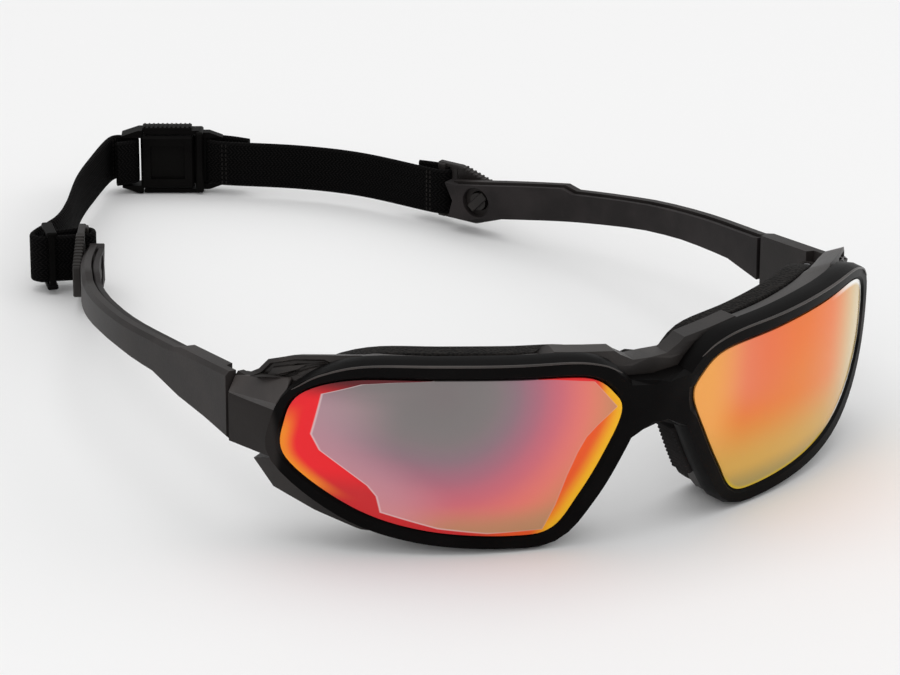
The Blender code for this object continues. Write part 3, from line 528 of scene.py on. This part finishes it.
def makeLens(name, node, finish, side):
    s = lensShape
    rim = smoothLine(s["outline"], s["points"], True)
    middle = Vector(s["middle"])
    bm = bmesh.new()
    flat = bm.loops.layers.uv.new("flat")
    rimMap = bm.loops.layers.uv.new("rim")
    bmesh.ops.create_circle(bm, segments=s["points"], radius=1.0)
    for vert, point in zip(bm.verts, rim):
        inset = point + (middle - point).normalized() * s["gap"]
        vert.co = (inset.x, 0.0, inset.y)
    edges = list(bm.edges)
    ring = dict.fromkeys(bm.verts)
    toHub = Matrix.Translation((-middle.x, 0.0, -middle.y))
    last = 1.0
    for share in s["rings"]:
        edges, ring = nextRing(bm, edges, ring)
        bmesh.ops.scale(bm, vec=Vector((share / last,) * 3), space=toHub, verts=list(ring))
        last = share
    disc = bmesh.ops.holes_fill(bm, edges=edges, sides=0)["faces"]
    bmesh.ops.poke(bm, faces=disc)
    for face in bm.faces:
        for loop in face.loops:
            x, z = loop.vert.co.x, loop.vert.co.z
            loop[flat].uv = (x / mapSpan, (z + mapDrop) / mapSpan)
            margin = min((Vector((x, z)) - p).length for p in rim)
            loop[rimMap].uv = (min(margin / rimSpan, 1.0), 0.5)
    for vert in bm.verts:
        x, y, z = onWrap(vert.co.x, vert.co.z, s["front"])
        vert.co = spot(side * x, y, z)
    bmesh.ops.recalc_face_normals(bm, faces=bm.faces)
    if sum(f.normal.y * f.calc_area() for f in bm.faces) > 0.0:
        bmesh.ops.reverse_faces(bm, faces=bm.faces)
    bmesh.ops.solidify(bm, geom=list(bm.faces), thickness=s["thick"] * mm)
    bmesh.ops.recalc_face_normals(bm, faces=bm.faces)
    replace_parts(newPiece(name, bm, finish, "front", s["angle"]), node)


browHighlightBead = {  # thin pale bead above each lens, from the nose to the temple, a painted highlight along the brow
    "line": [(9.5, 9.6), (13.5, 11.8), (20.0, 13.3), (31.0, 13.75), (46.0, 14.0), (58.0, 13.2),
             (65.0, 10.2), (69.4, 6.0)],
    "depth": -1.3, "thick": 0.3, "taper": 0.4, "points": 90, "sides": 8, "angle": 60.0,
}


def makeHighlightBead(name, side):
    s = browHighlightBead
    line = smoothLine(s["line"], s["points"])
    bm = bmesh.new()
    bmesh.ops.create_circle(bm, segments=s["sides"], radius=1.0)
    ring = {v: v.co.copy() for v in bm.verts}
    edges = list(bm.edges)
    first = edges
    for i, point in enumerate(line):
        if i:
            edges, ring = nextRing(bm, edges, ring)
        ahead = headingAt(line, i)
        slim = s["thick"] * math.sin(math.pi * (i + 0.6) / len(line)) ** s["taper"]
        for vert, at in ring.items():
            x, y, z = onWrap(point.x - ahead.y * at.x * slim, point.y + ahead.x * at.x * slim,
                             s["depth"] + at.y * slim)
            vert.co = spot(side * x, y, z)
    bmesh.ops.holes_fill(bm, edges=first, sides=0)
    bmesh.ops.holes_fill(bm, edges=edges, sides=0)
    bmesh.ops.recalc_face_normals(bm, faces=bm.faces)
    newPiece(name, bm, "ridge", "front", s["angle"])


# each bead is a painted highlight standing in for light on the brow bevel
makeHighlightBead("browHighlightRight", -1)
makeHighlightBead("browHighlightLeft", 1)
makeLens("lensRight", "lens_right", "lensRight", -1)
makeLens("lensLeft", "lens_left", "lensLeft", 1)
print("lenses made")

foamRing = {"round": 1.1, "segments": 4, "angle": 40.0, "smooth": 60.0, "fill": 0.9}


def makeFoam():
    piece = newPiece("foamGasket", mergedCopy("foam_gasket"), "foam", "front", foamRing["smooth"])
    rounded(piece, foamRing["round"] * mm, foamRing["segments"], foamRing["angle"])
    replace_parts(piece, "foam_gasket")


makeFoam()
print("foam made")


def barPoint(side):
    return fromPeg(side, strap["barOut"], strap["barBack"])


def roundBar(bar, away, side):  # webbing round a bar, from one side of it to the other
    r, corner = strap["loop"], strap["corner"]
    return [bar + side * r, bar + (side - away) * corner * r, bar - away * r,
            bar - (side + away) * corner * r, bar - side * r]


def bandProfile():
    r, h, w = strap["round"], strap["thick"] / 2, strap["wide"] / 2
    points = []
    for cx, cz, start in ((h - r, w - r, 0), (r - h, w - r, 90), (r - h, r - w, 180), (h - r, r - w, 270)):
        for turn in (0, 45, 90):
            a = math.radians(start + turn)
            points.append((cx + r * math.cos(a), cz + r * math.sin(a)))
    return points


def band(name, node, line, start, end, bodies, caps, reach=None):
    profile = bandProfile()
    bm = bmesh.new()
    weave = bm.loops.layers.uv.new("weave")
    ring = {bm.verts.new((x, 0.0, z)): k for k, (x, z) in enumerate(profile)}
    verts = list(ring)
    edges = [bm.edges.new(pair) for pair in zip(verts, verts[1:] + verts[:1])]
    first = edges
    marks = {}
    pace = (line[1] - line[0]).length
    for i in range(start, end + 1):
        if i > start:
            edges, ring = nextRing(bm, edges, ring)
        ahead = headingAt(line, i)
        aside = Vector((-ahead.y, ahead.x))
        for vert, k in ring.items():
            point = line[i] + aside * profile[k][0]
            vert.co = spot(point.x, point.y, strap["level"] + profile[k][1])
            marks[vert] = (i * pace / mapSpan, (profile[k][1] + strap["wide"] / 2) / mapSpan)
    for rimEdges, cap in zip((first, edges), caps):
        if cap:
            bmesh.ops.holes_fill(bm, edges=rimEdges, sides=0)
    for face in bm.faces:
        for loop in face.loops:
            loop[weave].uv = marks[loop.vert]
    bmesh.ops.recalc_face_normals(bm, faces=bm.faces)
    piece = newPiece(name, bm, "webbing", bodies[0] if len(bodies) == 1 else None, strap["angle"])
    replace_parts(piece, node)
    if len(bodies) == 2:
        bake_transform(piece)


def nearest(line, point):
    return min(range(len(line)), key=lambda i: (line[i] - point).length)


def bandRun(name, node, line, ends, bodies):  # one strap in stretches that each follow a body or a pair
    starts = [0] + ends
    for k, body in enumerate(bodies):
        band(name + str(k + 1), node, line, starts[k], (ends + [len(line) - 1])[k], body,
             (k == 0, k == len(bodies) - 1))


blockAngle = 40.0  # edges of small blocks that turn more than this stay sharp


def addBlock(bm, centre, size, turn):
    made = bmesh.ops.create_cube(bm, size=mm)["verts"]
    bmesh.ops.scale(bm, vec=size, verts=made)
    bmesh.ops.rotate(bm, cent=(0.0, 0.0, 0.0), matrix=Matrix.Rotation(turn, 3, "Z"), verts=made)
    bmesh.ops.translate(bm, vec=spot(*centre), verts=made)


tack = {"rise": (-4.8, 4.8), "rows": (-0.5, 0.5), "count": 9, "long": 0.8, "wide": 0.34, "proud": 0.16,
        "round": 0.1}


def sewTack(name, line, mark, body):  # two upright rows of stitches through one thickness of webbing
    ahead = headingAt(line, mark)
    turn = math.atan2(ahead.y, ahead.x)
    low, high = tack["rise"]
    size = (tack["wide"], 2.0 * tack["proud"], tack["long"])
    bm = bmesh.new()
    for face in (-1, 1):
        for row in tack["rows"]:
            foot = line[mark] + ahead * row + Vector((-ahead.y, ahead.x)) * face * strap["thick"] / 2
            for k in range(tack["count"]):
                rise = strap["level"] + low + (high - low) * k / (tack["count"] - 1)
                addBlock(bm, (*foot, rise), size, turn)
    rounded(newPiece(name, bm, "thread", body, blockAngle), tack["round"] * mm)


rightStrap = {  # up from the clip to the adjuster, through it, and back to the socket
    "frontPoints": 60, "rearPoints": 170, "clipRun": 3.0, "sliderHold": 1.5,
    "turn": [(0.4, -1.75), (2.4, -1.75), (4.0, 0.5), (2.4, 3.7)],  # beyond the adjuster and across it
    "rear": [(-50.3, 199.9), (-44.0, 208.0), (-35.1, 222.5), (-27.0, 233.2)],
    "templeHold": 0.4,  # share of the way from the second to the third rear point
    "socketAim": (-19.6, 243.4), "socketRun": 4.0,
}


def makeRightStrap():
    s = rightStrap
    loop, layer = strap["loop"], strap["layer"]
    slider = Vector(strap["slider"])
    bar = barPoint(-1)
    run = (slider - bar).normalized()
    across = Vector((run.y, -run.x))
    clear = bar + run * s["clipRun"]
    line = smoothLine([slider - across * layer, clear - across * loop] + roundBar(bar, run, -across)
                      + [clear + across * loop, slider + across * layer], s["frontPoints"])
    band("strapRightFront", "strap_right_front", line, 0, len(line) - 1, ("clip_right", "adjuster"),
         (True, True), (bar, slider - run * s["sliderHold"]))
    end = alongBuckle(strap["socketBar"])
    away = (Vector(s["socketAim"]) - end).normalized()
    side = Vector((-away.y, away.x))
    turn = [slider + run * beyond + across * aside for beyond, aside in s["turn"]]
    rear = [Vector(p) for p in s["rear"]]
    clear = end + away * s["socketRun"]
    arrive = clear - side * loop
    line = smoothLine(turn + rear + [arrive] + roundBar(end, away, -side) + [clear + side * loop],
                      s["rearPoints"])
    templeEnd = rear[1].lerp(rear[2], s["templeHold"])
    ends = [nearest(line, p) for p in (turn[1], turn[3], rear[0], templeEnd, arrive)]
    bandRun("strapRightRear", "strap_right_rear", line, ends,
            [("adjuster",), ("adjuster", "clip_right"), ("clip_right", "temple_right"),
             ("temple_right", "front"), ("front", "strap_back"), ("strap_back",)])
    sewTack("socketTack", line, ends[4] + 2, "strap_back")


leftStrap = {  # from a tail at the clip to a tail at the plug, each a place along the strap and across it
    "points": 170, "clipAim": (35.2, 206.3), "clipRun": 3.4, "clipTail": (7.5, -1.7),
    "middle": [(35.0, 206.2), (23.6, 218.1)],
    "plugAim": (20.0, 221.0), "plugRun": 4.0, "plugTail": (8.0, 1.6),
    "shares": (1, 3, 6), "shareOf": 7,  # where the free stretch passes from one pair of bodies to the next
}


def makeLeftStrap():
    s = leftStrap
    loop = strap["loop"]
    bar = barPoint(1)
    away = (Vector(s["clipAim"]) - bar).normalized()
    side = Vector((-away.y, away.x))
    end = alongBuckle(strap["plugBar"])
    back = (Vector(s["plugAim"]) - end).normalized()
    flank = Vector((-back.y, back.x))
    clipClear = bar + away * s["clipRun"]
    plugClear = end + back * s["plugRun"]
    leave = clipClear + side * loop
    arrive = plugClear - flank * loop
    clipTail = bar + away * s["clipTail"][0] + side * s["clipTail"][1]
    plugTail = end + back * s["plugTail"][0] + flank * s["plugTail"][1]
    line = smoothLine([clipTail, clipClear - side * loop] + roundBar(bar, away, -side)
                      + [leave] + [Vector(p) for p in s["middle"]] + [arrive] + roundBar(end, back, -flank)
                      + [plugClear + flank * loop, plugTail], s["points"])
    first, last = nearest(line, leave), nearest(line, arrive)
    ends = [first] + [first + (last - first) * share // s["shareOf"] for share in s["shares"]] + [last]
    bandRun("strapLeft", "strap_left", line, ends,
            [("clip_left",), ("clip_left", "temple_left"), ("temple_left", "front"),
             ("front", "strap_back"), ("strap_back", "buckle_plug"), ("buckle_plug",)])
    sewTack("clipTack", line, first - 1, "clip_left")
    sewTack("plugTack", line, last + 2, "buckle_plug")


clipRibs = {"count": 10, "start": -3.8, "pitch": 1.15, "out": 1.3, "rise": -17.22, "slope": 0.3095,
            "size": (0.6, 2.06, 0.62), "round": 0.12}


def makeClipRibs(name, side, body):
    s = clipRibs
    bm = bmesh.new()
    for k in range(s["count"]):
        run = s["start"] + s["pitch"] * k
        rise = s["rise"] + s["slope"] * run
        addBlock(bm, (*fromPeg(side, s["out"], run), rise), s["size"], templeTurn(side))
    rounded(newPiece(name, bm, "clip", body, blockAngle), s["round"] * mm)


templeTail = {  # forked end of each temple: outline along the temple from the peg and up, then its depth
    "outline": [(3.2, -26.7), (8.3, -26.8), (7.1, -22.2), (9.4, -17.8), (6.2, -17.9)],
    "out": -0.6, "thick": 3.7, "round": 0.25,
}


def makeTempleTail(name, side, body):
    s = templeTail
    bm = bmesh.new()
    ring = [bm.verts.new(spot(*fromPeg(side, s["out"], run), rise)) for run, rise in s["outline"]]
    face = bm.faces.new(ring)
    made = bmesh.ops.extrude_face_region(bm, geom=[face])["geom"]
    inward = -templeSides(side)[0].to_3d() * s["thick"] * mm
    bmesh.ops.translate(bm, vec=inward, verts=[g for g in made if isinstance(g, bmesh.types.BMVert)])
    bmesh.ops.recalc_face_normals(bm, faces=bm.faces)
    rounded(newPiece(name, bm, "liner", body, 32.0), s["round"] * mm)


# thin walls that close the clips and the plug between their bars and plates
clipWeb = {"run": 9.7, "out": 0.9, "size": (2.2, 0.9, 12.4), "round": 0.15}
plugWeb = {"walls": [(16.25, (1.3, 1.6, 13.0)), (18.1, (1.9, 1.4, 12.8))], "round": 0.15}  # place, size


def makeClipWeb(name, side, body):
    s = clipWeb
    bm = bmesh.new()
    addBlock(bm, (*fromPeg(side, s["out"], s["run"]), strap["level"]), s["size"], templeTurn(side))
    rounded(newPiece(name, bm, "clip", body, blockAngle), s["round"] * mm)


def makePlugWeb():
    bm = bmesh.new()
    for along, size in plugWeb["walls"]:
        addBlock(bm, (*alongBuckle(along), strap["level"]), size, buckleTurn)
    rounded(newPiece("plugWeb", bm, "buckle", "buckle_plug", blockAngle), plugWeb["round"] * mm)


buckleGrip = {"start": 2.6, "long": 12.4, "deep": 3.4, "rise": -13.3, "tall": 1.0, "ribs": 11, "rib": 0.5,
              "ribShort": 0.4, "round": 0.15}


def makeBuckleGrip():
    s = buckleGrip
    ribSize = (s["rib"], s["deep"] - s["ribShort"], s["rib"])
    bm = bmesh.new()
    middle = alongBuckle(s["start"] + s["long"] / 2)
    addBlock(bm, (*middle, s["rise"]), (s["long"], s["deep"], s["tall"]), buckleTurn)
    for k in range(s["ribs"]):
        foot = alongBuckle(s["start"] + s["long"] * (k + 0.5) / s["ribs"])
        addBlock(bm, (*foot, s["rise"] + s["tall"] / 2), ribSize, buckleTurn)
    rounded(newPiece("buckleGrip", bm, "buckle", "strap_back", blockAngle), s["round"] * mm)


makeRightStrap()
makeLeftStrap()
makeClipRibs("clipRibsRight", -1, "clip_right")
makeClipRibs("clipRibsLeft", 1, "clip_left")
makeTempleTail("templeTailRight", -1, "temple_right")
makeTempleTail("templeTailLeft", 1, "temple_left")
makeClipWeb("clipWebRight", -1, "clip_right")
makeClipWeb("clipWebLeft", 1, "clip_left")
makePlugWeb()
makeBuckleGrip()
print("webbing and its fittings made")

# camera at the photograph's angle
view = {"yaw": -28.034, "pitch": 22.2, "roll": 0.255, "aside": 43.604, "above": -14.226,
        "away": 936.53, "lens": 180.0, "sensor": 36.0, "near": 0.01, "far": 50.0}


def makeCamera():
    yaw, pitch, roll = (math.radians(view[k]) for k in ("yaw", "pitch", "roll"))
    level = math.cos(pitch)
    back = Vector((math.sin(yaw) * level, -math.cos(yaw) * level, math.sin(pitch)))
    flat = Vector((math.cos(yaw), math.sin(yaw), 0.0))
    rise = back.cross(flat)
    right = math.cos(roll) * flat + math.sin(roll) * rise
    up = math.cos(roll) * rise - math.sin(roll) * flat
    eye = back * view["away"] - right * view["aside"] - up * view["above"]
    lens = bpy.data.cameras.new("camera")
    lens.lens = view["lens"]
    lens.sensor_width = view["sensor"]
    lens.sensor_fit = "HORIZONTAL"
    lens.clip_start = view["near"]
    lens.clip_end = view["far"]
    camera = bpy.data.objects.new("camera", lens)
    turn = Matrix((right, up, back)).transposed().to_4x4()
    camera.matrix_world = Matrix.Translation(spot(*eye)) @ turn
    bpy.context.scene.collection.objects.link(camera)
    bpy.context.scene.camera = camera


makeCamera()

studio = {
    "background": (0.855, 0.855, 0.855), "ambient": 0.72,
    "floorSize": 6.0, "floorDrop": 0.0002, "floorTone": (0.85, 0.87),
    "lamps": [  # name, place, aim, width, height, watts
        ("overheadBox", (0.0, 0.2, 1.5), (0.0, 0.0, 0.02), 2.0, 1.6, 8.0),
        ("frontBox", (-0.8, -1.1, 0.8), (0.0, -0.05, 0.02), 1.1, 0.8, 3.0),
        ("rightBox", (1.1, -0.5, 0.7), (0.0, 0.0, 0.02), 0.9, 0.7, 2.5),
    ],
}


def makeSky():
    world = bpy.data.worlds.new("studio")
    bpy.context.scene.world = world
    world.use_nodes = True
    tree = world.node_tree
    sky = tree.nodes["Background"]
    sky.inputs["Color"].default_value = (1.0, 1.0, 1.0, 1.0)
    sky.inputs["Strength"].default_value = studio["ambient"]
    rays = tree.nodes.new("ShaderNodeLightPath")
    pale = tree.nodes.new("ShaderNodeBackground")
    pale.inputs["Color"].default_value = (*studio["background"], 1.0)
    mix = tree.nodes.new("ShaderNodeMixShader")
    tree.links.new(rays.outputs["Is Camera Ray"], mix.inputs[0])
    tree.links.new(sky.outputs[0], mix.inputs[1])
    tree.links.new(pale.outputs[0], mix.inputs[2])
    tree.links.new(mix.outputs[0], tree.nodes["World Output"].inputs["Surface"])


def makeLamps():
    for name, place, aim, width, height, watts in studio["lamps"]:
        lamp = bpy.data.lights.new(name, "AREA")
        lamp.shape = "RECTANGLE"
        lamp.size = width
        lamp.size_y = height
        lamp.energy = watts
        box = bpy.data.objects.new(name, lamp)
        box.location = place
        box.rotation_euler = (Vector(aim) - Vector(place)).to_track_quat("-Z", "Y").to_euler()
        bpy.context.scene.collection.objects.link(box)


def makeFloor():
    bm = bmesh.new()
    bmesh.ops.create_grid(bm, x_segments=4, y_segments=4, size=studio["floorSize"] / 2)
    bmesh.ops.translate(bm, vec=(0.0, 0.0, -studio["floorDrop"]), verts=bm.verts)
    mesh = bpy.data.meshes.new("studioFloor")
    bm.to_mesh(mesh)
    bm.free()
    floor = bpy.data.objects.new("studioFloor", mesh)
    bpy.context.scene.collection.objects.link(floor)
    paint = Finish("studio floor")
    low, high = studio["floorTone"]
    paint.put(Base_Color=paint.blend(paint.noise(3.0, 1.0), (low,) * 3, (high,) * 3), Roughness=0.9)
    mesh.materials.append(paint.material)


bpy.context.scene.view_settings.view_transform = "Standard"
makeSky()
makeLamps()
makeFloor()
print("studio made")
